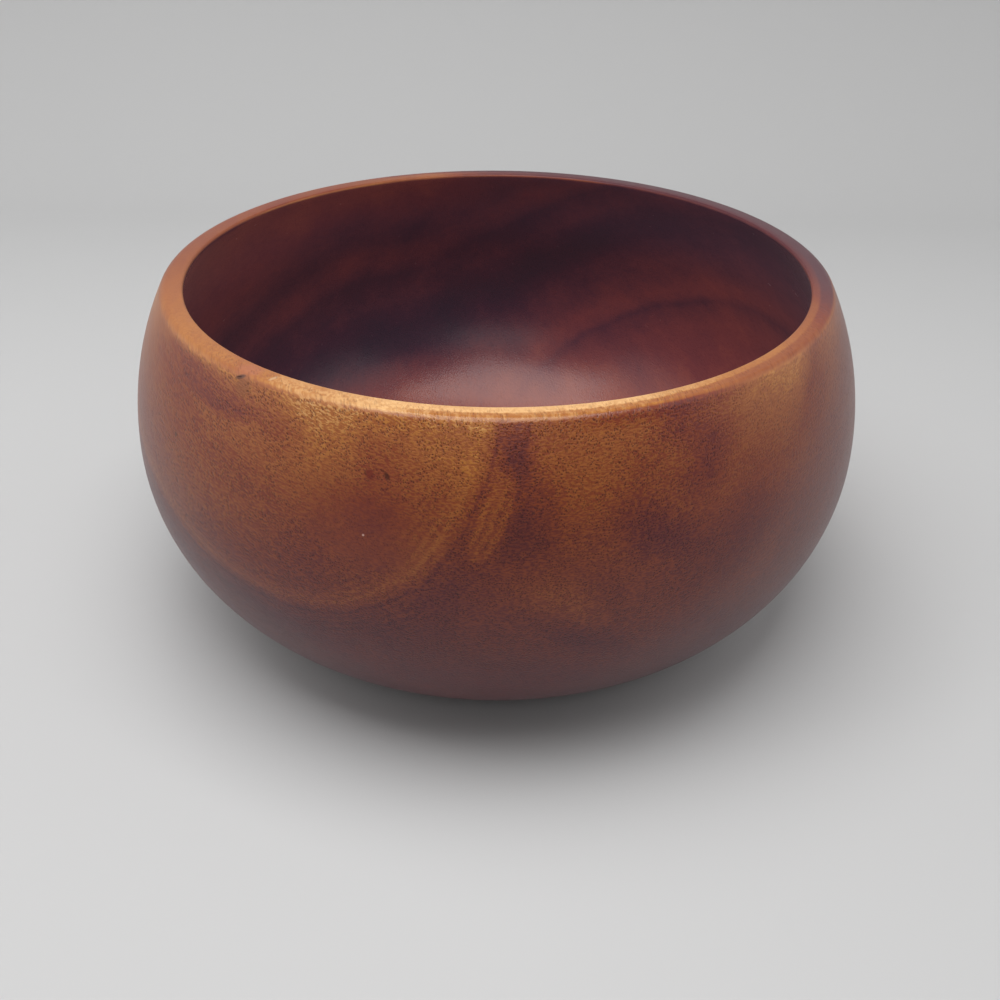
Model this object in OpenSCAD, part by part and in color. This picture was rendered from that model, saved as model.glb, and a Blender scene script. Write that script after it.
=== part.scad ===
// Wooden bowl turned from one block, with a full belly and a drawn-in rim.
// The knots are plugs of branch wood that grew into the block, each in its own socket.
// Origin: centre of the base, on the table. +Z is the axis of turning.

/* [Outside] */
// Outside diameter at the belly, the widest circle
bowl_d = 254; // [230:1:280]
// Height from the table to the top of the rim
bowl_h = 124; // [112:1:140]
// Height of the belly above the table
belly_h = 71; // [64:1:78]
// How far the outside draws in between the belly and the rim
rim_draw = 13.8; // [11:0.1:17]
// Diameter of the flat base
foot_d = 140; // [124:1:156]

/* [Rim] */
// Width of the rim across its top
rim_w = 7.6; // [6:0.1:10]
// Rounding of the rim's outer edge
rim_outer_round = 3; // [1:0.1:3.6]
// Rounding of the rim's inner edge
rim_inner_round = 0.9; // [0.5:0.1:1.6]

/* [Hollow] */
// Wall thickness at the belly
belly_wall = 8.5; // [7:0.1:12]
// Floor thickness at the centre
floor_t = 11; // [8:0.5:16]
// Slope of the floor where the wall's curve takes over, in degrees
floor_slope = 6; // [3:0.5:10]

/* [Base] */
// Width of the flat ring that the bowl stands on
foot_ring_w = 10; // [6:0.5:20]
// Depth of the shallow dish inside that ring
foot_dish = 1.5; // [0.8:0.1:3]

/* [All knots] */
// Taper of a knot's side, from its own axis, in degrees
knot_taper = 6; // [3:0.5:8]
// Gap between a knot's side and its socket, where the bark has shrunk
bark_gap = 0.1; // [0.05:0.01:0.2]

/* [Rim knot] */
// Bearing of the rim knot round the bowl, in degrees from +X
rim_knot_bearing = -129; // [-180:1:180]
// Drop of its centre below the top of the rim
rim_knot_drop = 2.6; // [2:0.1:6]
// Diameter of the rim knot on the outside
rim_knot_d = 6; // [4:0.1:7]
// Depth of the rim knot
rim_knot_depth = 4; // [3:0.1:4.6]

/* [Wall knot] */
// Bearing of the wall knot round the bowl, in degrees from +X
wall_knot_bearing = -104; // [-180:1:180]
// Drop of its centre below the top of the rim
wall_knot_drop = 15.8; // [10:0.1:30]
// Diameter of the wall knot on the outside
wall_knot_d = 4.2; // [3.6:0.1:6]
// Depth of the wall knot
wall_knot_depth = 5; // [3:0.1:6]

/* [Red pin knot] */
// Bearing of the red pin knot round the bowl, in degrees from +X
red_pin_knot_bearing = -106; // [-180:1:180]
// Drop of its centre below the top of the rim
red_pin_knot_drop = 16; // [10:0.1:30]
// Diameter of the red pin knot on the outside
red_pin_knot_d = 2.4; // [2:0.1:3.2]
// Depth of the red pin knot
red_pin_knot_depth = 4; // [3:0.1:5]

/* [Dark pin knot] */
// Bearing of the dark pin knot round the bowl, in degrees from +X
dark_pin_knot_bearing = -141.5; // [-180:0.5:180]
// Drop of its centre below the top of the rim
dark_pin_knot_drop = 25.6; // [10:0.1:36]
// Diameter of the dark pin knot on the outside
dark_pin_knot_d = 1.6; // [1.4:0.1:2.4]
// Depth of the dark pin knot
dark_pin_knot_depth = 3.6; // [3:0.1:4.4]

/* [Hidden] */
$fn = 300;

// Radius of the arc that is upright at its start, then climbs rise while it draws in by draw
function upright_arc_r(rise, draw) = (rise * rise + draw * draw) / (2 * draw);

// Place across the axis of the point on a circle of radius r, at height up above its centre
function across(r, up) = sqrt(r * r - up * up);

// Outside: one arc above the belly and one below, both upright where they meet
bowl_r = bowl_d / 2;
rim_r = bowl_r - rim_draw;
foot_r = foot_d / 2;
shoulder_h = bowl_h - belly_h;
shoulder_r = upright_arc_r(shoulder_h, rim_draw);
shoulder_x = bowl_r - shoulder_r;
hip_r = upright_arc_r(belly_h, bowl_r - foot_r);
hip_x = bowl_r - hip_r;

// Hollow: an arc above the belly, a cove below it and a dished floor that the cove runs into
mouth_r = rim_r - rim_w;
hollow_r = bowl_r - belly_wall;
inner_shoulder_r = upright_arc_r(shoulder_h, hollow_r - mouth_r);
inner_shoulder_x = hollow_r - inner_shoulder_r;
half_slope = tan(floor_slope / 2);
cove_r = (belly_h - floor_t - hollow_r * half_slope) / (1 - half_slope);
cove_x = hollow_r - cove_r;
cove_end_x = cove_x + cove_r * sin(floor_slope);
floor_r = cove_end_x / sin(floor_slope);

// Base: the dish is a shallow cap of a large sphere
dish_edge_r = foot_r - foot_ring_w;
dish_r = upright_arc_r(dish_edge_r, foot_dish);

// Centres of the two roundings of the rim, each tangent to the top and to its own wall
outer_round_h = bowl_h - rim_outer_round;
outer_round_x = shoulder_x + across(shoulder_r - rim_outer_round, outer_round_h - belly_h);
inner_round_h = bowl_h - rim_inner_round;
inner_round_x = inner_shoulder_x + across(inner_shoulder_r + rim_inner_round, inner_round_h - belly_h);

// Colours of the turned wood and of the knots
body_colour = [0.45, 0.23, 0.11];
rim_knot_colour = [0.42, 0.21, 0.15];
wall_knot_colour = [0.22, 0.10, 0.07];
red_pin_colour = [0.42, 0.13, 0.07];
dark_pin_colour = [0.14, 0.08, 0.06];

// Half section of the outside form, filled to the axis
module outside_section() {
    intersection() {
        translate([shoulder_x, belly_h]) circle(shoulder_r);
        translate([0, belly_h]) square([bowl_r, shoulder_h]);
    }
    intersection() {
        translate([hip_x, belly_h]) circle(hip_r);
        square([bowl_r, belly_h]);
    }
    square([hip_x, belly_h]);
}

// Half section of the hollow, run on past the top of the rim
module hollow_section() {
    intersection() {
        translate([inner_shoulder_x, belly_h]) circle(inner_shoulder_r);
        translate([0, belly_h]) square([hollow_r, shoulder_h + rim_w]);
    }
    intersection() {
        translate([cove_x, belly_h]) circle(cove_r);
        translate([cove_end_x, floor_t]) square([hollow_r - cove_end_x, belly_h - floor_t]);
    }
    intersection() {
        translate([0, floor_t + floor_r]) circle(floor_r);
        translate([0, floor_t]) square([cove_end_x, belly_h - floor_t]);
    }
}

// What comes off an edge for a rounding of radius r: the corner between straight up and the
// direction towards, which is square to the wall; side is 1 for the outer edge, -1 for the inner
module edge_offcut(r, towards, side) {
    reach = 2 * r;
    difference() {
        polygon([[0, 0], [0, reach], [side * reach, reach], towards * reach]);
        circle(r);
    }
}

// Both edges of the rim, as what is taken off them
module rim_offcuts() {
    outer_normal = [outer_round_x - shoulder_x, outer_round_h - belly_h];
    inner_normal = [inner_shoulder_x - inner_round_x, belly_h - inner_round_h];
    translate([outer_round_x, outer_round_h])
        edge_offcut(rim_outer_round, outer_normal / norm(outer_normal), 1);
    translate([inner_round_x, inner_round_h])
        edge_offcut(rim_inner_round, inner_normal / norm(inner_normal), -1);
}

// The bowl before its sockets are cut
module turned_bowl() {
    rotate_extrude() difference() {
        outside_section();
        hollow_section();
        rim_offcuts();
        translate([0, foot_dish - dish_r]) circle(dish_r);
    }
}

// Tapered plug square to the outside, drop below the rim, run on past the surface by its radius
module tapered_plug(bearing, drop, d, depth, gap) {
    slope = tan(knot_taper);
    lift = asin((bowl_h - drop - belly_h) / shoulder_r);
    run_out = d / 2;
    length = depth + run_out;
    end_r = d / 2 - depth * slope + gap;
    rotate([0, 0, bearing])
        translate([shoulder_x, 0, belly_h])
            rotate([0, 90 - lift, 0])
                translate([0, 0, shoulder_r - depth])
                    cylinder(h = length, r1 = end_r, r2 = end_r + length * slope);
}

module rim_knot_plug(gap) {
    tapered_plug(rim_knot_bearing, rim_knot_drop, rim_knot_d, rim_knot_depth, gap);
}

module wall_knot_plug(gap) {
    tapered_plug(wall_knot_bearing, wall_knot_drop, wall_knot_d, wall_knot_depth, gap);
}

module red_pin_knot_plug(gap) {
    tapered_plug(red_pin_knot_bearing, red_pin_knot_drop, red_pin_knot_d, red_pin_knot_depth, gap);
}

module dark_pin_knot_plug(gap) {
    tapered_plug(dark_pin_knot_bearing, dark_pin_knot_drop, dark_pin_knot_d, dark_pin_knot_depth, gap);
}

// The turned bowl with a blind socket for each knot
module bowl_body() {
    color(body_colour) difference() {
        turned_bowl();
        rim_knot_plug(bark_gap);
        wall_knot_plug(bark_gap);
        red_pin_knot_plug(bark_gap);
        dark_pin_knot_plug(bark_gap);
    }
}

// Each knot is turned flush with the bowl, so it ends on the bowl's own surface
module rim_knot() {
    color(rim_knot_colour) intersection() {
        turned_bowl();
        rim_knot_plug(0);
    }
}

module wall_knot() {
    color(wall_knot_colour) intersection() {
        turned_bowl();
        wall_knot_plug(0);
    }
}

module red_pin_knot() {
    color(red_pin_colour) intersection() {
        turned_bowl();
        red_pin_knot_plug(0);
    }
}

module dark_pin_knot() {
    color(dark_pin_colour) intersection() {
        turned_bowl();
        dark_pin_knot_plug(0);
    }
}

bowl_body();
rim_knot();
wall_knot();
red_pin_knot();
dark_pin_knot();
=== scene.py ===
from math import asin, atan2, cos, hypot, pi, radians, sin, sqrt, tan
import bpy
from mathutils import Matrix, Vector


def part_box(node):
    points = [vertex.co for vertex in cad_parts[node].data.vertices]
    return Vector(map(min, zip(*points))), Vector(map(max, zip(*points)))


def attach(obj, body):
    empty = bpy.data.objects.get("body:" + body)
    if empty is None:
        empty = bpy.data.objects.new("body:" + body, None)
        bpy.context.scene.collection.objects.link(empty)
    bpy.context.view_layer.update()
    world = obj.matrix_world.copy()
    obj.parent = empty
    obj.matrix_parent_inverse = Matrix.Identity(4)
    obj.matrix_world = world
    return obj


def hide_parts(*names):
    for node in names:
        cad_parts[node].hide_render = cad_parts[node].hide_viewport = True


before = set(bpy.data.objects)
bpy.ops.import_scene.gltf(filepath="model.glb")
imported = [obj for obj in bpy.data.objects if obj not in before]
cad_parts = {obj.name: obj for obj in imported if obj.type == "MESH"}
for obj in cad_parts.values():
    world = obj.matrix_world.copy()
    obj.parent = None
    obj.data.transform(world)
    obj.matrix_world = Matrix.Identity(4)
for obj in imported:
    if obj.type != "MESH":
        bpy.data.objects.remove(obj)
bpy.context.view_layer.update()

from types import SimpleNamespace

import bpy
from mathutils import Euler, Matrix, Vector

bodyLow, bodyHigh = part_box("bowl_body")
bowlRadius = max(bodyHigh[0], bodyHigh[1], -bodyLow[0], -bodyLow[1])
bowlHeight = bodyHigh[2] - bodyLow[2]
millimetre = 0.001
mergeReach = 1e-6               # points closer than this are one point
print("frame loaded, bowl radius and height", bowlRadius, bowlHeight)


# Camera at the photograph's viewing angle, in a square picture

cameraSetup = {
    "place": (0.0015, -0.3954, bowlHeight + 0.1489),
    "pitchDown": radians(31.71),
    "roll": radians(0.50),      # lowers the right side of the picture
    "lens": 43.2,
    "sensor": 36.0,
    "clipStart": 0.01,
}


def addCamera(setup):
    data = bpy.data.cameras.new("photoCamera")
    data.sensor_fit = "HORIZONTAL"
    data.sensor_width = setup["sensor"]
    data.lens = setup["lens"]
    data.clip_start = setup["clipStart"]
    camera = bpy.data.objects.new("photoCamera", data)
    bpy.context.scene.collection.objects.link(camera)
    turn = Matrix.Rotation(pi / 2 - setup["pitchDown"], 3, "X") @ Matrix.Rotation(setup["roll"], 3, "Z")
    camera.location = setup["place"]
    camera.rotation_euler = turn.to_euler()
    bpy.context.scene.camera = camera


addCamera(cameraSetup)
print("camera placed")


# The bowl: its half section is drawn in arcs, then spun round the axis of turning

bowlShape = {
    "bellyHeight": 0.071,
    "rimDraw": 0.0138,          # how far the outside draws in from belly to rim
    "footRadius": 0.070,
    "rimWidth": 0.0076,
    "rimOuterRound": 0.003,
    "rimInnerRound": 0.0009,
    "bellyWall": 0.0085,
    "floorThickness": 0.011,
    "floorSlope": radians(6),   # where the floor runs into the wall's curve
    "footRingWidth": 0.010,
    "footDish": 0.0015,
    "arcStep": 0.0024,          # length of one step along the section
    "lineSteps": 2,             # fewest steps along a line
    "roundSteps": 6,            # fewest steps along an arc, as over the rim's roundings
    "turnSteps": 288,
}


def uprightArcRadius(rise, draw):
    return (rise * rise + draw * draw) / (2 * draw)


rimRadius = bowlRadius - bowlShape["rimDraw"]
shoulderRadius = uprightArcRadius(bowlHeight - bowlShape["bellyHeight"], bowlShape["rimDraw"])


def sectionStops(shape):        # list of (centre or None, end point) from the base's centre to the floor's
    belly = shape["bellyHeight"]
    shoulderX = bowlRadius - shoulderRadius
    hip = uprightArcRadius(belly, bowlRadius - shape["footRadius"])
    hipX = bowlRadius - hip
    hollowRadius = bowlRadius - shape["bellyWall"]
    innerDraw = hollowRadius - (rimRadius - shape["rimWidth"])
    innerShoulder = uprightArcRadius(bowlHeight - belly, innerDraw)
    innerShoulderX = hollowRadius - innerShoulder
    slope = shape["floorSlope"]
    halfSlope = tan(slope / 2)
    cove = (belly - shape["floorThickness"] - hollowRadius * halfSlope) / (1 - halfSlope)
    coveX = hollowRadius - cove
    coveEnd = (coveX + cove * sin(slope), belly - cove * cos(slope))
    floorArc = coveEnd[0] / sin(slope)
    dishEdge = shape["footRadius"] - shape["footRingWidth"]
    dish = uprightArcRadius(dishEdge, shape["footDish"])
    outerRound, innerRound = shape["rimOuterRound"], shape["rimInnerRound"]
    outerH, innerH = bowlHeight - outerRound, bowlHeight - innerRound
    outerX = shoulderX + sqrt((shoulderRadius - outerRound) ** 2 - (outerH - belly) ** 2)
    innerX = innerShoulderX + sqrt((innerShoulder + innerRound) ** 2 - (innerH - belly) ** 2)
    outerLean = atan2(outerH - belly, outerX - shoulderX)
    innerLean = atan2(innerH - belly, innerX - innerShoulderX)
    wallEnd = (outerX + outerRound * cos(outerLean), outerH + outerRound * sin(outerLean))
    innerStart = (innerX - innerRound * cos(innerLean), innerH - innerRound * sin(innerLean))
    return [
        (None, (0, shape["footDish"])),
        ((0, shape["footDish"] - dish), (dishEdge, 0)),
        (None, (shape["footRadius"], 0)),
        ((hipX, belly), (bowlRadius, belly)),
        ((shoulderX, belly), wallEnd),
        ((outerX, outerH), (outerX, bowlHeight)),
        (None, (innerX, bowlHeight)),
        ((innerX, innerH), innerStart),
        ((innerShoulderX, belly), (hollowRadius, belly)),
        ((coveX, belly), coveEnd),
        ((0, shape["floorThickness"] + floorArc), (0, shape["floorThickness"])),
    ]


def arcAngle(centre, start, end):
    first = atan2(start[1] - centre[1], start[0] - centre[0])
    last = atan2(end[1] - centre[1], end[0] - centre[0])
    return (last - first + pi) % (2 * pi) - pi


def drawSection(shape):         # one vertex, extruded along lines and spun along arcs
    stops = sectionStops(shape)
    start = stops[0][1]
    bpy.ops.object.select_all(action="DESELECT")
    bpy.ops.mesh.primitive_plane_add(size=shape["arcStep"], location=(start[0], 0, start[1]))
    piece = bpy.context.object
    bpy.ops.object.transform_apply(location=True)
    bpy.ops.object.mode_set(mode="EDIT")
    bpy.ops.mesh.select_all(action="SELECT")
    bpy.ops.mesh.merge(type="CENTER")
    at = start
    for centre, end in stops[1:]:
        if centre is None:
            length = hypot(end[0] - at[0], end[1] - at[1])
            steps = max(shape["lineSteps"], round(length / shape["arcStep"]))
            move = ((end[0] - at[0]) / steps, 0, (end[1] - at[1]) / steps)
            for step in range(steps):
                bpy.ops.mesh.extrude_region_move(TRANSFORM_OT_translate={"value": move})
        else:
            angle = arcAngle(centre, at, end)
            radius = hypot(at[0] - centre[0], at[1] - centre[1])
            steps = max(shape["roundSteps"], round(abs(angle) * radius / shape["arcStep"]))
            bpy.ops.mesh.spin(steps=steps, angle=angle, center=(centre[0], 0, centre[1]), axis=(0, 1, 0))
        at = end
    return piece


def turnBowl(shape):
    piece = drawSection(shape)
    bpy.ops.mesh.select_all(action="SELECT")
    bpy.ops.mesh.spin(steps=shape["turnSteps"], angle=2 * pi, center=(0, 0, 0), axis=(0, 0, 1))
    bpy.ops.mesh.select_all(action="SELECT")
    bpy.ops.mesh.remove_doubles(threshold=mergeReach)
    bpy.ops.mesh.normals_make_consistent(inside=False)
    bpy.ops.object.mode_set(mode="OBJECT")
    return piece


bowl = turnBowl(bowlShape)
bowl.name = bowl.data.name = "bowlBody"
print("bowl turned,", len(bowl.data.vertices), "vertices")


# Knots: tapered plugs of branch wood, flush with the bowl, each in its own socket

plugShape = {
    "taper": radians(6),
    "barkGap": 0.00003,         # between a plug's side and its socket
    "sides": 48,
}
knots = {
    "rimKnot": {"node": "rim_knot", "slot": "rim_knot_wood",
                "bearing": radians(-129), "drop": 0.0026, "width": 0.006, "depth": 0.004},
    "wallKnot": {"node": "wall_knot", "slot": "wall_knot_wood",
                 "bearing": radians(-104), "drop": 0.0158, "width": 0.0042, "depth": 0.005},
    "redPinKnot": {"node": "red_pin_knot", "slot": "red_pin_wood",
                   "bearing": radians(-106), "drop": 0.016, "width": 0.0024, "depth": 0.004},
    "darkPinKnot": {"node": "dark_pin_knot", "slot": "dark_pin_wood",
                    "bearing": radians(-141.5), "drop": 0.0256, "width": 0.0016, "depth": 0.0036},
}


def knotLift(knot):             # slope of the wall's normal at the knot
    return asin((bowlHeight - knot["drop"] - bowlShape["bellyHeight"]) / shoulderRadius)


def knotPoint(knot, reach):     # point on the knot's axis, reach from the centre of the shoulder's arc
    lift, bearing = knotLift(knot), knot["bearing"]
    across = bowlRadius - shoulderRadius + reach * cos(lift)
    return (across * cos(bearing), across * sin(bearing), bowlShape["bellyHeight"] + reach * sin(lift))


def knotTurn(knot):
    return (0, pi / 2 - knotLift(knot), knot["bearing"])


def addPlug(name, knot, gap):
    slope = tan(plugShape["taper"])
    runOut = knot["width"] / 2  # past the surface
    length = knot["depth"] + runOut
    endRadius = knot["width"] / 2 - knot["depth"] * slope + gap
    bpy.ops.object.select_all(action="DESELECT")
    bpy.ops.mesh.primitive_cone_add(
        vertices=plugShape["sides"], radius1=endRadius, radius2=endRadius + length * slope, depth=length,
        location=knotPoint(knot, shoulderRadius + (runOut - knot["depth"]) / 2), rotation=knotTurn(knot))
    plug = bpy.context.object
    plug.name = plug.data.name = name
    bpy.ops.object.transform_apply(location=True, rotation=True)
    return plug


def combine(piece, other, operation):
    bpy.ops.object.select_all(action="DESELECT")
    bpy.context.view_layer.objects.active = piece
    piece.select_set(True)
    step = piece.modifiers.new(operation, "BOOLEAN")
    step.operation = operation
    step.solver = "MANIFOLD"
    step.object = other
    bpy.ops.object.modifier_apply(modifier=step.name)


def discard(piece):
    bpy.ops.object.select_all(action="DESELECT")
    piece.select_set(True)
    bpy.ops.object.delete()


plugs = {}
for knotName, knotSetup in knots.items():
    plugs[knotName] = addPlug(knotName, knotSetup, 0)
    combine(plugs[knotName], bowl, "INTERSECT")
for knotName, knotSetup in knots.items():
    cutter = addPlug("socketCutter", knotSetup, plugShape["barkGap"])
    combine(bowl, cutter, "DIFFERENCE")
    discard(cutter)


# Check of the rim knot: a short open split across its upper half

checkShape = {                  # in millimetres in the knot's frame: down the wall, right, out
    "place": (-2.0, -1.15, 0.0),
    "halfSize": (0.30, 1.6, 0.3),
    "turn": radians(26),
    "segments": 24,
    "rings": 12,
}


def cutCheck(plug, knot, shape):
    at = Matrix.LocRotScale(knotPoint(knot, shoulderRadius), Euler(knotTurn(knot)), None)
    turn = at.to_3x3() @ Matrix.Rotation(shape["turn"], 3, "Z")
    bpy.ops.object.select_all(action="DESELECT")
    bpy.ops.mesh.primitive_uv_sphere_add(
        segments=shape["segments"], ring_count=shape["rings"], radius=millimetre,
        location=at @ (millimetre * Vector(shape["place"])),
        rotation=turn.to_euler(), scale=shape["halfSize"])
    splitCutter = bpy.context.object
    bpy.ops.object.transform_apply(location=True, rotation=True, scale=True)
    combine(plug, splitCutter, "DIFFERENCE")
    discard(splitCutter)


cutCheck(plugs["rimKnot"], knots["rimKnot"], checkShape)
print("knots set in their sockets,", {name: len(plug.data.vertices) for name, plug in plugs.items()})


# Shader maths: an expression on values adds its Math nodes

class Value:
    def __init__(self, tree, socket=None):
        self.tree = tree
        self.socket = socket

    def node(self, kind, settings, sockets, output=0):
        made = self.tree.nodes.new(kind)
        for name, value in settings.items():
            if name == "stops":
                setStops(made.color_ramp, value)
            else:
                setattr(made, name, value)
        for name, value in sockets.items():
            if isinstance(value, Value):
                self.tree.links.new(value.socket, made.inputs[name])
            else:
                made.inputs[name].default_value = value
        return Value(self.tree, made.outputs[output] if made.outputs else None)

    def maths(self, operation, first, second):
        return self.node("ShaderNodeMath", {"operation": operation}, {0: first, 1: second})

    def __add__(self, other):
        return self.maths("ADD", self, other)

    def __radd__(self, other):
        return self.maths("ADD", other, self)

    def __sub__(self, other):
        return self.maths("SUBTRACT", self, other)

    def __rsub__(self, other):
        return self.maths("SUBTRACT", other, self)

    def __mul__(self, other):
        return self.maths("MULTIPLY", self, other)

    def __rmul__(self, other):
        return self.maths("MULTIPLY", other, self)

    def __truediv__(self, other):
        return self.maths("DIVIDE", self, other)

    def __pow__(self, other):
        return self.maths("POWER", self, other)

    def sine(self):
        return self.maths("SINE", self, 0)

    def smooth(self, low, high):    # 0 at low, 1 at high, eased at both ends
        return self.node("ShaderNodeMapRange", {"interpolation_type": "SMOOTHSTEP"},
                         {"Value": self, "From Min": low, "From Max": high})

    def within(self, start, full, fade, end):   # 1 from full to fade, 0 before start and after end
        return self.smooth(start, full) * self.smooth(end, fade)

    def ramp(self, stops):          # each stop is a place and its number or colour
        low, high = stops[0][0], stops[-1][0]
        scaled = [((place - low) / (high - low), colour) for place, colour in stops]
        return self.node("ShaderNodeValToRGB", {"stops": scaled}, {"Fac": (self - low) / (high - low)})


def setStops(ramp, stops):
    while len(ramp.elements) > 1:
        ramp.elements.remove(ramp.elements[-1])
    for index, (place, colour) in enumerate(stops):
        stop = ramp.elements[0] if index == 0 else ramp.elements.new(place)
        stop.position = place
        stop.color = (*colour, 1) if isinstance(colour, tuple) else (colour, colour, colour, 1)


# Wood: its figure is laid out in the log's own frame, in millimetres: across, up and towards the viewer
# Heights, drops below the rim's top and what is measured in from the outside are in metres

logFrame = {
    "pith": (-0.045, -0.113, 0.113),
    "turn": (radians(104.5), 0, radians(8)),
}
figure = {
    # growth rings of the front: oval curves round a focus, drawn in on the lower right
    "ringFocus": (-20, 0),
    "ringLean": 0.6,
    "ringLeanTurn": radians(-60),
    "ringMiddle": 0.5,          # tone of a ring that changes nothing
    "ringTone": [(0, 0.58), (20, 0.54), (34, 0.46), (42, 0.49), (46.8, 0.66), (48.4, 0.54), (50.1, 0.44),
                 (50.7, 0.27), (51.5, 0.42), (53, 0.39), (56, 0.33), (62, 0.38), (70, 0.46), (110, 0.5)],
    # fine lines that run beside the strong ring
    "lineTone": 0.07,
    "lineGap": 2.3,
    "lineSpan": (34, 46, 54, 66),
    "lineMottle": (-0.05, 0.15),
    # bands of the back and of the inside, by their distance down and to the right
    "bandDepth": (-60, -130),   # where they take over from the rings
    "bandSlope": 0.3,
    "bandBend": 0.002,
    "bandDip": 14,              # taken off from the middle to the right
    "bandDipSpan": (0, 50),
    "bandTone": [(20, 0.84), (36, 0.78), (46, 0.72), (54, 0.60), (60, 0.48), (66, 0.36), (71, 0.27),
                 (75, 0.29), (79, 0.40), (83, 0.43), (87, 0.34), (91, 0.17), (96, 0.22), (103, 0.27),
                 (109, 0.14), (115, 0.02), (121, 0.06), (128, 0.22), (136, 0.36), (146, 0.46),
                 (152, 0.60), (156, 0.56), (159, 0.36), (162, 0.50), (170, 0.66), (200, 0.70)],
    "floorToneWithPaintedSheen": 1.12,          # that the bands fade into on the bowl's floor, partly the floor's lighter wood and partly its sheen, painted in
    "floorShare": 0.8,
    "floorHeight": (0.050, 0.020),
    "mouthTone": 0.18,          # added to the bands near the mouth
    "mouthHeight": (0.092, 0.120),
    "insideDepth": (0.003, 0.006),  # below the outside, where the inside's wood starts
    # how the front lightens upwards, and, by the drop below the rim's top, a painted sheen just below the
    # rim, a painted highlight on the rim's edge in the middle and shade on the edge's right part
    "footTone": 0.12,
    "rimTone": 0.64,
    # painted sheen: lightens the wall just below the rim all along the front
    "paintedRimSheen": 0.12,
    "paintedRimSheenDrop": (0.010, 0.003),
    "paintedEdgeHighlight": 0.09,           # painted highlight on the rim's edge, in the middle
    "paintedEdgeHighlightDrop": (0.005, 0.002),
    "paintedEdgeHighlightSpan": (30, 50, 82, 98),   # across from the focus
    "edgeShade": 0.22,          # on the right
    "edgeShadeDrop": (0.006, 0.001),
    "edgeShadeSpan": (70, 95, 126, 142),    # across from the focus
}
rimFigure = {
    "topDrop": (0.0014, 0.0005),    # below the top, where a point starts to count as on the rim
    # tone of the rim's top by bearing, the wood's gold and browns with a painted highlight in the bright
    # front stops, and how far down the rounding it goes, from left to right
    "tone": [(-180, 0.64), (-165, 0.85), (-150, 0.94), (-136, 0.98), (-131, 0.86), (-126, 0.88),
             (-123, 1.04), (-120, 1.08), (-105, 1.26), (-80, 1.24), (-68, 1.20), (-60, 1.10),
             (-45, 0.90), (-30, 0.92), (-15, 0.45), (0, 0.2), (15, 0.05), (60, 0.06),
             (80, 0.1), (92, 0.3), (105, 0.72), (120, 0.58), (150, 0.52), (180, 0.64)],
    "reach": [(-32, 0.0031), (-20, 0.0007), (22, 0.0007), (34, 0.0014), (58, 0.0014), (72, 0.0005),
              (104, 0.0005), (120, 0.0009)],
    "reachFade": (1, 0.2),      # shares of that reach where the tone ends and where it is full
    "step": 0.24,               # taken off the outer part of the top, from the middle to the right
    "stepEdge": (0.0032, 0.0021),   # in from the outside, and how far it leans for each millimetre across
    "stepLean": 0.00001,
    "stepSpan": (12, 34),
}
patches = {                     # place, half size, turn in degrees, softness of the edge, change of tone
    "goldenCrown": ((-10, 6), (50, 28), 0, 1.0, 0.26),
    "crownRight": ((33, 4), (18, 13), 0, 1.0, 0.22),
    "underEdge": ((38, 7.6), (15, 4), 0, 1.0, -0.11),
    "darkPatch": ((50, 9), (6.5, 14), 5, 0.6, -0.21),
    "darkSide": ((54, -12), (9, 17), -10, 0.8, -0.13),
    "flame": ((43.6, -10.5), (4.4, 15), -26, 0.3, 0.17),
    "flameShade": ((49, -15), (4, 13), -28, 0.6, -0.10),
    "goldenRight": ((70, 1), (21, 19), 0, 1.0, 0.17),
    "blotch": ((88, -17), (19, 10), -28, 1.0, -0.24),
    "underRim": ((59, 4), (8, 8), 0, 1.0, 0.12),
    "lobe": ((98, 1), (9, 7), 0, 0.6, 0.05),
    "aboveLobe": ((96, 7), (11, 8), 0, 1.0, -0.24),
    "besideLobe": ((105, -2), (12, 17), -10, 1.0, -0.20),
    "rightGolden": ((132, 2), (22, 18), 0, 0.9, 0.17),
    "lowerRight": ((112, -28), (32, 18), 0, 1.0, -0.18),
    "lowerLight": ((63, -36), (19, 11), -25, 0.8, 0.17),
    "lowerDark": ((68, -47), (24, 8), -30, 0.8, -0.10),
    "leftBand": ((-34, -5), (18, 5.4), 13, 0.6, -0.32),
    "knotSwirl": ((12, 0), (6, 9), 20, 0.8, -0.10),
    "knotStain": ((-16, 2), (15, 13), 0, 0.9, -0.30),
    "leftMiddle": ((9, -11), (17, 13), 0, 1.0, -0.15),
    "leftShade": ((-46, -13), (12, 8), 0, 1.0, -0.12),
    # painted sheen: lightens the left edge of the wall
    "paintedLeftSheen": ((-54, -38), (15, 20), 0, 1.0, 0.12),
    "leftLow": ((-35, -32), (22, 17), 0, 1.0, 0.10),
    "farGold": ((137, 0), (8, 14), -30, 1.0, 0.06),
    "farLine": ((146, -1), (4, 16), -36, 0.8, -0.11),
    "farEdge": ((156, -8), (9, 20), -20, 1.0, 0.09),
}
anyDepth = 1e6                  # half size of a patch along the fibre, past any part of the bowl
noiseMiddle = 0.5               # noise runs from 0 to 1 round this
noiseLevels = {"stray": 2, "streak": 3, "mottle": 3, "fleck": 2, "cluster": 1}
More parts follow.
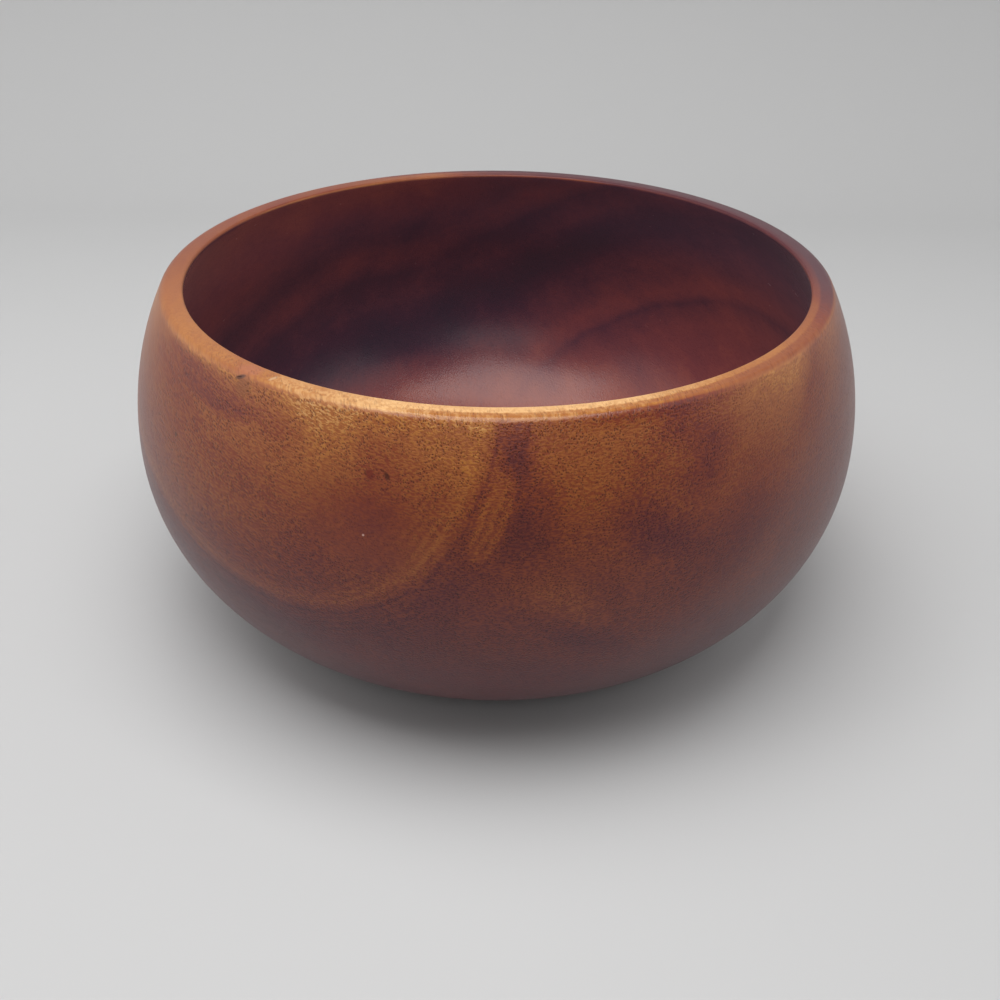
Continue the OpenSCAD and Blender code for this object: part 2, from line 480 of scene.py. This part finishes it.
grainDetail = {
    # slow and quick noise that moves the figure: how far, and its size, in millimetres
    "drift": 5.0,
    "driftSize": 30,
    "tremble": 2.0,
    "trembleSize": 6,
    "strayLength": 5,           # how many times longer that noise is along the fibre
    # changes of tone, and the size of their noise across, up and along the fibre
    "streak": 0.16,
    "streakSize": (2.4, 2.4, 40),
    "mottle": 0.24,
    "mottleSize": (16, 16, 70),
    "fleck": 0.26,
    "fleckSize": (1.1, 0.42, 7),
    "fleckEdge": (0.38, 0.62),
    # pores: their wander along the fibre, their width as a share of the spacing, and their clusters
    "poreSpacing": 0.8,
    "poreWander": 1.6,
    "poreWanderSize": 4,
    "poreEdge": (0.36, 0.14),
    "clusterSize": (3, 3, 12),
    "clusterEdge": (0.3, 0.6),
    "poreDark": 0.75,
    "poreTint": (0.30, 0.22, 0.20, 1),
    # the fine grain is clear on the front above the foot, and loses these shares elsewhere
    "nearDepth": (-90, -20),
    "nearHeight": (0, 0.08),
    "farLoss": 0.8,
    "rightLoss": 0.5,
    "rightSpan": (85, 125),
    "rimLoss": 0.5,
    "calmLoss": 0.6,            # in an oval round and below the wall's knots
    "calmPlace": (8, -17),
    "calmSize": (26, 16),
    "calmEdge": (0, 0.6),
    "fleckRise": 0.5,           # of a fleck, as a share of a pore's depth
    "relief": 0.0003,           # depth of the fine grain, in metres
    "reliefShare": 0.3,
}
frontColours = [(0.0, (0.085, 0.017, 0.026)), (0.2, (0.122, 0.025, 0.028)), (0.35, (0.165, 0.036, 0.027)),
                (0.5, (0.225, 0.050, 0.025)), (0.65, (0.275, 0.078, 0.028)), (0.85, (0.345, 0.113, 0.036)),
                (1.0, (0.43, 0.165, 0.042)), (1.3, (0.75, 0.43, 0.18))]
backColours = [(0.0, (0.050, 0.029, 0.047)), (0.2, (0.068, 0.030, 0.049)), (0.35, (0.10, 0.036, 0.053)),
               (0.5, (0.14, 0.043, 0.055)), (0.7, (0.20, 0.053, 0.057)), (0.9, (0.28, 0.075, 0.060)),
               (1.3, (0.42, 0.12, 0.07))]
hueDetail = {
    # share of the back's bluer colours at the far right, a painted reflection of the pale surroundings, and
    # low on the wall, partly the wood's darker purple and partly a painted reflection of the floor
    "paintedFarSheen": 0.3,
    "paintedFarSheenSpan": (115, 165),
    "low": 0.30,
    "lowHeight": (0.085, 0.040),
    # painted sheen, a hazy reflection of the pale surroundings, low on the flanks and inside the mouth
    "paintedFlankSheen": 0.15,
    "paintedFlankSheenColour": (0.15, 0.14, 0.15, 1),
    "rightFlank": (145, 185),
    "rightLean": 1.29,          # how far that edge leans to the right for each millimetre up
    "leftFlank": (-60, -95),
    "leftShare": 0.7,
    "paintedMouthSheen": 0.18,
    "paintedMouthSheenColour": (0.10, 0.09, 0.18, 1),
    "mouthHeight": (0.085, 0.110),
    # oval of the front where the wood is warmest
    "warmPlace": (50, -6),
    "warmSize": (52, 34),
    "warmEdge": (0, 0.8),
    "warmTint": (1.0, 0.93, 0.68, 1),
}
marks = [                       # knot, centre and half size in its frame, turn, colour, strength
    # the frame is the knot's own, in millimetres: down the wall, right, out
    ("rimKnot", (-3.5, -1.0, -3.0), (4.5, 6.0, 4.5), 0, (0.40, 0.135, 0.065), 0.75),
    ("rimKnot", (0.3, 0.8, 0.0), (4.2, 4.0, 4.0), 0, (0.25, 0.080, 0.030), 0.8),
    # dark over the check: partly the split's dark wood and partly painted shade of its depth
    ("rimKnot", checkShape["place"], (0.9, 2.6, 1.6), checkShape["turn"], (0.085, 0.030, 0.020), 0.9),
    ("rimKnot", (-4.6, 8.2, -3.2), (1.4, 0.8, 3.0), 0, (0.54, 0.32, 0.17), 0.9),
    ("wallKnot", (0.0, 0.0, 0.0), (4.5, 4.5, 4.5), 0, (0.25, 0.055, 0.024), 0.4),
    ("wallKnot", (0.1, 0.1, 0.0), (1.7, 0.9, 5.0), radians(35), (0.085, 0.020, 0.010), 0.95),
    ("wallKnot", (17.8, -6.0, -1.5), (0.45, 0.45, 3.0), 0, (0.62, 0.42, 0.36), 0.9),
    ("redPinKnot", (0.2, -0.6, 0.0), (2.2, 1.7, 5.0), radians(20), (0.17, 0.028, 0.018), 0.9),
    ("darkPinKnot", (0.0, 0.0, 0.0), (1.0, 1.0, 4.0), 0, (0.10, 0.04, 0.025), 0.9),
]
markEdge = (0, 0.6)
finishDetail = {
    # roughness of the polish, and where the glossy front of the rim's rounding is
    "outside": 0.38,
    "inside": 0.25,
    "rimTop": 0.40,
    "rounding": 0.22,
    "roundingEdge": (0.0020, 0.0013),   # in from the outside
    "roundingDrop": (0.006, 0.002),     # below the top
    "roundingSpan": (0, 30, 80, 115),
    "streak": 0.10,             # change of the roughness along the streaks
    "specular": 0.32,
    "sheen": 0.06,
}


def part(wood, vector, axis):
    return wood.node("ShaderNodeSeparateXYZ", {}, {"Vector": vector}, axis)


def mixColours(wood, first, second, amount, blend="MIX"):
    # a Mix node takes colours at its inputs 6 and 7 and gives one at its output 2
    return wood.node("ShaderNodeMix", {"data_type": "RGBA", "blend_type": blend},
                     {"Factor": amount, 6: first, 7: second}, 2)


def stretchedNoise(wood, inLog, size, detail, output=0):    # size across, up and along the fibre
    scale = tuple(1 / length for length in size)
    stretched = wood.node("ShaderNodeMapping", {}, {"Vector": inLog, "Scale": scale})
    return wood.node("ShaderNodeTexNoise", {}, {"Vector": stretched, "Scale": 1, "Detail": detail}, output)


def strayed(wood, place, inLog, size, reach):   # a place moved across the fibre by noise
    length = grainDetail["strayLength"] * size
    noise = stretchedNoise(wood, inLog, (size, size, length), noiseLevels["stray"], "Color")
    middle = -noiseMiddle * reach
    shift = wood.node("ShaderNodeVectorMath", {"operation": "MULTIPLY_ADD"},
                      {0: noise, 1: (reach, reach, 0), 2: (middle, middle, 0)})
    return wood.node("ShaderNodeVectorMath", {"operation": "ADD"}, {0: place, 1: shift})


def ovalCover(wood, place, at, size, turn):     # 1 at the middle of an oval, 0 at its edge
    inOval = wood.node("ShaderNodeMapping", {"vector_type": "TEXTURE"},
                       {"Vector": place, "Location": at, "Rotation": (0, 0, turn), "Scale": size})
    return wood.node("ShaderNodeTexGradient", {"gradient_type": "SPHERICAL"}, {"Vector": inOval}, "Fac")


def patchCover(wood, place, at, size, turn=0):
    return ovalCover(wood, place, (*at, 0), (*size, anyDepth), radians(turn))


def insideCover(wood, radius, height):          # 1 on the hollow's side of the wall, 0 on the outside
    belly = bowlShape["bellyHeight"]
    above = height - belly
    hipRadius = uprightArcRadius(belly, bowlRadius - bowlShape["footRadius"])
    hipReach = wood.maths("MAXIMUM", radius - (bowlRadius - hipRadius), 0)
    shoulderReach = radius - (bowlRadius - shoulderRadius)
    hipDepth = hipRadius - (hipReach * hipReach + above * above) ** 0.5
    shoulderDepth = shoulderRadius - (shoulderReach * shoulderReach + above * above) ** 0.5
    depth = hipDepth + wood.maths("GREATER_THAN", above, 0) * (shoulderDepth - hipDepth)
    return depth.smooth(*figure["insideDepth"])


def surfacePoint(wood):         # where a point lies on the bowl, in metres, and in the log, in millimetres
    onBowl = wood.node("ShaderNodeTexCoord", {}, {}, "Object")
    inLog = wood.node("ShaderNodeMapping", {"vector_type": "TEXTURE"},
                      {"Vector": onBowl, "Location": logFrame["pith"], "Rotation": logFrame["turn"],
                       "Scale": (millimetre,) * 3})
    east, north, height = [part(wood, onBowl, axis) for axis in "XYZ"]
    side, up, depth = [part(wood, inLog, axis) for axis in "XYZ"]
    radius = (east * east + north * north) ** 0.5
    drop = bowlHeight - height
    return SimpleNamespace(
        onBowl=onBowl, inLog=inLog, side=side, up=up, depth=depth, height=height, drop=drop, radius=radius,
        bearing=wood.maths("ARCTAN2", north, east) * (180 / pi), fromEdge=rimRadius - radius,
        inside=insideCover(wood, radius, height), onRim=drop.smooth(*rimFigure["topDrop"]))


def fineGrain(wood, point):     # streaks, mottle, flecks of light wood and the dark mouths of the pores
    detail = grainDetail
    inLog = point.inLog
    front = point.depth.smooth(*detail["nearDepth"]) * point.height.smooth(*detail["nearHeight"])
    calm = patchCover(wood, inLog, detail["calmPlace"], detail["calmSize"]).smooth(*detail["calmEdge"])
    near = front * (1 - point.inside) * (1 - detail["calmLoss"] * calm)
    near = near * (1 - detail["rightLoss"] * point.side.smooth(*detail["rightSpan"]))
    crisp = (1 - detail["farLoss"] * (1 - near)) * (1 - detail["rimLoss"] * point.onRim)
    fleck = stretchedNoise(wood, inLog, detail["fleckSize"], noiseLevels["fleck"])
    fleck = fleck.smooth(*detail["fleckEdge"]) - noiseMiddle
    poreGrid = strayed(wood, inLog, inLog, detail["poreWanderSize"], detail["poreWander"])
    poreReach = wood.node("ShaderNodeTexVoronoi", {"voronoi_dimensions": "2D"},
                          {"Vector": poreGrid, "Scale": 1 / detail["poreSpacing"]}, "Distance")
    cluster = stretchedNoise(wood, inLog, detail["clusterSize"], noiseLevels["cluster"])
    pore = poreReach.smooth(*detail["poreEdge"]) * cluster.smooth(*detail["clusterEdge"]) * crisp
    return SimpleNamespace(
        streak=stretchedNoise(wood, inLog, detail["streakSize"], noiseLevels["streak"]) - noiseMiddle,
        mottle=stretchedNoise(wood, inLog, detail["mottleSize"], noiseLevels["mottle"]) - noiseMiddle,
        fleck=fleck * crisp, pore=pore)


def frontTone(wood, point, place, mottle):
    across = part(wood, place, "X") - figure["ringFocus"][0]
    up = part(wood, place, "Y") - figure["ringFocus"][1]
    lean = across * cos(figure["ringLeanTurn"]) + up * sin(figure["ringLeanTurn"])
    ring = ((across * across + up * up) ** 0.5 + figure["ringLean"] * lean) / (1 + figure["ringLean"])
    rise = (figure["rimTone"] - figure["footTone"]) / bowlHeight
    tone = figure["footTone"] + point.height * rise + ring.ramp(figure["ringTone"]) - figure["ringMiddle"]
    lines = (ring * (2 * pi / figure["lineGap"])).sine() * mottle.smooth(*figure["lineMottle"])
    tone = tone + lines * ring.within(*figure["lineSpan"]) * figure["lineTone"]
    # painted sheen just below the rim
    tone = tone + point.drop.smooth(*figure["paintedRimSheenDrop"]) * figure["paintedRimSheen"]
    # painted highlight on the rim's edge in the middle, and shade on its right part
    paintedHighlight = point.drop.smooth(*figure["paintedEdgeHighlightDrop"]) * across.within(*figure["paintedEdgeHighlightSpan"])
    shade = point.drop.smooth(*figure["edgeShadeDrop"]) * across.within(*figure["edgeShadeSpan"])
    tone = tone + paintedHighlight * figure["paintedEdgeHighlight"] - shade * figure["edgeShade"]
    for at, size, turn, soft, change in patches.values():
        tone = tone + change * patchCover(wood, place, at, size, turn).smooth(0, soft)
    return tone


def backTone(wood, point, place):
    across = part(wood, place, "X")
    down = across * figure["bandSlope"] + across * across * figure["bandBend"] - part(wood, place, "Y")
    down = down - across.smooth(*figure["bandDipSpan"]) * figure["bandDip"]
    tone = down.ramp(figure["bandTone"])
    # the floor's tone holds part of the floor's sheen as a painted highlight
    onFloor = point.height.smooth(*figure["floorHeight"]) * point.inside
    tone = tone + (figure["floorToneWithPaintedSheen"] - tone) * onFloor * figure["floorShare"]
    return tone + point.height.smooth(*figure["mouthHeight"]) * figure["mouthTone"]


def rimTopTone(point):
    inFromStep = point.fromEdge - point.side * rimFigure["stepLean"]
    outerPart = inFromStep.smooth(*rimFigure["stepEdge"]) * point.side.smooth(*rimFigure["stepSpan"])
    return point.bearing.ramp(rimFigure["tone"]) - outerPart * rimFigure["step"]


def woodTone(wood, point, fine):    # the rings in front, the bands behind and the rim's run of tones, whose bright front paints in part of the rim's highlight
    place = strayed(wood, point.inLog, point.inLog, grainDetail["driftSize"], grainDetail["drift"])
    place = strayed(wood, place, point.inLog, grainDetail["trembleSize"], grainDetail["tremble"])
    tone = frontTone(wood, point, place, fine.mottle)
    behind = wood.maths("MAXIMUM", point.depth.smooth(*figure["bandDepth"]), point.inside)
    tone = tone + (backTone(wood, point, place) - tone) * behind
    reach = point.side.ramp(rimFigure["reach"])
    tone = tone + (rimTopTone(point) - tone) * (point.drop / reach).smooth(*rimFigure["reachFade"])
    mottle = fine.mottle * (1 + point.inside) * grainDetail["mottle"]
    return tone + fine.streak * grainDetail["streak"] + mottle + fine.fleck * grainDetail["fleck"]


def addMarks(wood, onBowl, colour):
    for knotName, at, size, turn, tint, strength in marks:
        fromKnot = wood.node("ShaderNodeMapping", {"vector_type": "TEXTURE"}, {
            "Vector": onBowl, "Location": knotPoint(knots[knotName], shoulderRadius),
            "Rotation": knotTurn(knots[knotName]), "Scale": (millimetre,) * 3})
        cover = ovalCover(wood, fromKnot, at, size, turn).smooth(*markEdge)
        colour = mixColours(wood, colour, (*tint, 1), cover * strength)
    return colour


def woodColour(wood, point, fine, tone):
    hue = hueDetail
    offRim = 1 - point.onRim
    # the back's bluer colours: at the far right a painted reflection, low on the wall partly the wood and
    # partly a painted reflection of the floor
    paintedFarSheen = point.side.smooth(*hue["paintedFarSheenSpan"]) * hue["paintedFarSheen"]
    low = point.height.smooth(*hue["lowHeight"]) * hue["low"]
    backShare = wood.maths("MAXIMUM", point.inside, wood.maths("MAXIMUM", paintedFarSheen, low)) * offRim
    colour = mixColours(wood, tone.ramp(frontColours), tone.ramp(backColours), backShare)
    # painted sheen: a grey haze low on the flanks
    rightFlank = (point.side - hue["rightLean"] * point.up).smooth(*hue["rightFlank"])
    leftFlank = (point.side + point.up).smooth(*hue["leftFlank"]) * hue["leftShare"]
    flank = wood.maths("MAXIMUM", rightFlank, leftFlank) * (1 - point.inside)
    colour = mixColours(wood, colour, hue["paintedFlankSheenColour"], flank * hue["paintedFlankSheen"])
    warm = patchCover(wood, point.inLog, hue["warmPlace"], hue["warmSize"]).smooth(*hue["warmEdge"])
    colour = mixColours(wood, colour, hue["warmTint"], warm * (1 - backShare) * offRim, "MULTIPLY")
    # painted sheen: a bluish haze inside the mouth
    mouth = point.height.smooth(*hue["mouthHeight"]) * point.inside * offRim
    colour = mixColours(wood, colour, hue["paintedMouthSheenColour"], mouth * hue["paintedMouthSheen"])
    colour = addMarks(wood, point.onBowl, colour)
    pores = fine.pore * grainDetail["poreDark"]
    return mixColours(wood, colour, grainDetail["poreTint"], pores, "MULTIPLY")


def woodPolish(point, fine):
    finish = finishDetail
    polish = finish["outside"] + point.inside * (finish["inside"] - finish["outside"])
    polish = polish + point.onRim * (finish["rimTop"] - polish)
    rounding = point.fromEdge.smooth(*finish["roundingEdge"]) * point.drop.smooth(*finish["roundingDrop"])
    rounding = rounding * point.side.within(*finish["roundingSpan"]) * (1 - point.inside)
    return polish + rounding * (finish["rounding"] - polish) + fine.streak * finish["streak"]


def woodMaterial(name):
    material = bpy.data.materials.new(name)
    material.use_nodes = True
    material.node_tree.nodes.clear()
    wood = Value(material.node_tree)
    point = surfacePoint(wood)
    fine = fineGrain(wood, point)
    colour = woodColour(wood, point, fine, woodTone(wood, point, fine))
    relief = fine.fleck * grainDetail["fleckRise"] - fine.pore
    bump = wood.node("ShaderNodeBump", {}, {
        "Height": relief, "Strength": grainDetail["reliefShare"], "Distance": grainDetail["relief"]})
    finish = wood.node("ShaderNodeBsdfPrincipled", {}, {
        "Base Color": colour, "Roughness": woodPolish(point, fine), "Normal": bump,
        "Specular IOR Level": finishDetail["specular"], "Sheen Weight": finishDetail["sheen"]})
    wood.node("ShaderNodeOutputMaterial", {}, {"Surface": finish})
    return material


smoothAngle = radians(40)       # edges sharper than this stay sharp


def dress(piece, material, node):
    bpy.ops.object.select_all(action="DESELECT")
    bpy.context.view_layer.objects.active = piece
    piece.select_set(True)
    bpy.ops.object.shade_smooth_by_angle(angle=smoothAngle)
    piece.data.materials.clear()
    piece.data.materials.append(material)
    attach(piece, "root")
    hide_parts(node)


dress(bowl, woodMaterial("turnedWood"), "bowl_body")
for knotName, knotSetup in knots.items():
    dress(plugs[knotName], woodMaterial(knotName + "Wood"), knotSetup["node"])
print("wood finished")


# Stage: a pale sheet that lies flat under the bowl and sweeps up behind it

stageSheet = {
    "front": -1.6, "sweepStart": 0.42, "sweepRadius": 0.16, "wallTop": 1.3, "halfWidth": 1.6,
    "sweepSteps": 24, "colour": (0.60, 0.60, 0.60), "roughness": 0.9, "specular": 0.1,
}


def addStage(sheet):
    bpy.ops.object.select_all(action="DESELECT")
    bpy.ops.mesh.primitive_plane_add(size=1, location=(0, sheet["front"], 0))
    floor = bpy.context.object
    floor.name = floor.data.name = "paleSweep"
    bpy.ops.object.transform_apply(location=True)
    bpy.ops.object.mode_set(mode="EDIT")
    bpy.ops.mesh.select_all(action="SELECT")
    bpy.ops.mesh.merge(type="CENTER")
    bpy.ops.transform.translate(value=(-sheet["halfWidth"], 0, 0))
    bpy.ops.mesh.extrude_region_move(TRANSFORM_OT_translate={"value": (2 * sheet["halfWidth"], 0, 0)})
    bpy.ops.mesh.select_all(action="SELECT")
    run = sheet["sweepStart"] - sheet["front"]
    bpy.ops.mesh.extrude_region_move(TRANSFORM_OT_translate={"value": (0, run, 0)})
    centre = (0, sheet["sweepStart"], sheet["sweepRadius"])
    bpy.ops.mesh.spin(steps=sheet["sweepSteps"], angle=-pi / 2, center=centre, axis=(1, 0, 0))
    rise = sheet["wallTop"] - sheet["sweepRadius"]
    bpy.ops.mesh.extrude_region_move(TRANSFORM_OT_translate={"value": (0, 0, rise)})
    bpy.ops.mesh.select_all(action="SELECT")
    bpy.ops.mesh.remove_doubles(threshold=mergeReach)
    bpy.ops.mesh.normals_make_consistent(inside=False)
    bpy.ops.object.mode_set(mode="OBJECT")
    bpy.ops.object.shade_smooth()
    paper = bpy.data.materials.new("palePaper")
    paper.use_nodes = True
    shader = paper.node_tree.nodes["Principled BSDF"]
    shader.inputs["Base Color"].default_value = (*sheet["colour"], 1)
    shader.inputs["Roughness"].default_value = sheet["roughness"]
    shader.inputs["Specular IOR Level"].default_value = sheet["specular"]
    floor.data.materials.append(paper)


addStage(stageSheet)


# Light: a wide soft ceiling, which shows as the sheen on the bowl's floor, a soft front and two soft sides

lamps = {
    "ceiling": {"place": (-0.06, -0.16, 0.75), "target": (0, -0.06, 0), "size": (0.62, 0.58), "watts": 5.0},
    "front": {"place": (0.0, -0.80, 0.55), "target": (0, 0.0, 0.08), "size": (0.6, 0.35), "watts": 0.78},
    "left": {"place": (-0.72, 0.05, 0.50), "target": (0, 0.05, 0.08), "size": (0.95, 0.8), "watts": 2.8},
    "right": {"place": (0.72, 0.05, 0.50), "target": (0, 0.05, 0.08), "size": (0.95, 0.8), "watts": 2.4},
}
skyLevel = 0.04


def addLamp(name, setup):
    data = bpy.data.lights.new(name, "AREA")
    data.shape = "RECTANGLE"
    data.size, data.size_y = setup["size"]
    data.energy = setup["watts"]
    lamp = bpy.data.objects.new(name, data)
    bpy.context.scene.collection.objects.link(lamp)
    lamp.visible_camera = False
    lamp.location = setup["place"]
    aim = Vector(setup["target"]) - Vector(setup["place"])
    lamp.rotation_euler = aim.to_track_quat("-Z", "Y").to_euler()


for lampName, lampSetup in lamps.items():
    addLamp(lampName, lampSetup)
world = bpy.data.worlds.new("studioSky")
world.use_nodes = True
world.node_tree.nodes["Background"].inputs["Color"].default_value = (1, 1, 1, 1)
world.node_tree.nodes["Background"].inputs["Strength"].default_value = skyLevel
bpy.context.scene.world = world
bpy.context.scene.view_settings.view_transform = "Standard"
print("stage and light set")
